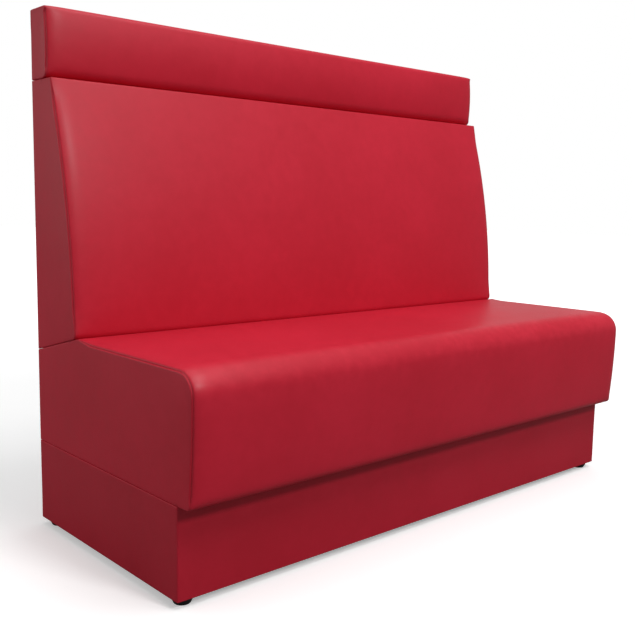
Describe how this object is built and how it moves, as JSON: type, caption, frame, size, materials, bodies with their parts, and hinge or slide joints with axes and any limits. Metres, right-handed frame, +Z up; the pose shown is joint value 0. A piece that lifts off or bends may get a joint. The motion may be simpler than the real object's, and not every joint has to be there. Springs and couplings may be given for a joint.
{
  "type": "restaurant booth bench",
  "caption": "High-backed upholstered booth bench with a rolled seat front, a curved back and a padded head roll on a recessed plinth with low glides",
  "frame": {"origin": "on the floor, under the middle of the bench's overall box", "axes": "+X along the bench to the sitter's left, +Y towards the rear face that stands at a wall, +Z up; the sitter faces -Y"},
  "size_m": [1.4, 0.625, 1.135],
  "materials": {
    "red_vinyl": "soft red vinyl with a fine leather grain",
    "foam": "open-cell upholstery foam",
    "plywood": "bare birch plywood",
    "felt": "grey needled felt",
    "black_cloth": "black non-woven lining",
    "spring_steel": "oil-tempered spring wire",
    "zinc_steel": "zinc-plated steel",
    "black_plastic": "moulded black plastic"
  },
  "bodies": {
    "root": {"back_bolts": "zinc_steel", "back_bottom_board": "plywood", "back_cover": "red_vinyl", "back_end_rib_left": "plywood", "back_end_rib_right": "plywood", "back_front_panel": "plywood", "back_inner_ribs": "plywood", "back_pad": "foam", "back_rear_lining": "black_cloth", "back_rear_panel": "plywood", "back_side_cover_left": "red_vinyl", "back_side_cover_right": "red_vinyl", "back_top_board": "plywood", "glide_front_left": "black_plastic", "glide_front_right": "black_plastic", "glide_inserts": "zinc_steel", "glide_rear_left": "black_plastic", "glide_rear_right": "black_plastic", "glide_screws": "zinc_steel", "head_bolts": "zinc_steel", "head_bottom_board": "plywood", "head_cover": "red_vinyl", "head_end_board_left": "plywood", "head_end_board_right": "plywood", "head_end_cover_left": "red_vinyl", "head_end_cover_right": "red_vinyl", "head_front_board": "plywood", "head_pad": "foam", "head_rear_lining": "black_cloth", "head_top_board": "plywood", "plinth_corner_blocks": "plywood", "plinth_cover": "red_vinyl", "plinth_cross_boards": "plywood", "plinth_end_board_left": "plywood", "plinth_end_board_right": "plywood", "plinth_front_board": "plywood", "plinth_rear_board": "plywood", "plinth_top_rails": "plywood", "seat_back_bearer": "plywood", "seat_bolts": "zinc_steel", "seat_bottom_rails": "plywood", "seat_cover": "red_vinyl", "seat_dust_cloth": "black_cloth", "seat_end_board_left": "plywood", "seat_end_board_right": "plywood", "seat_felt": "felt", "seat_foam": "foam", "seat_front_board": "plywood", "seat_front_pad": "foam", "seat_middle_board": "plywood", "seat_rear_board": "plywood", "seat_rear_lining": "black_cloth", "seat_side_cover_left": "red_vinyl", "seat_side_cover_right": "red_vinyl", "seat_spring_batten": "plywood", "seat_springs": "spring_steel", "spring_clips": "zinc_steel", "tee_nuts": "zinc_steel", "washers": "zinc_steel", "wood_screws": "zinc_steel"}
  },
  "joints": []
}
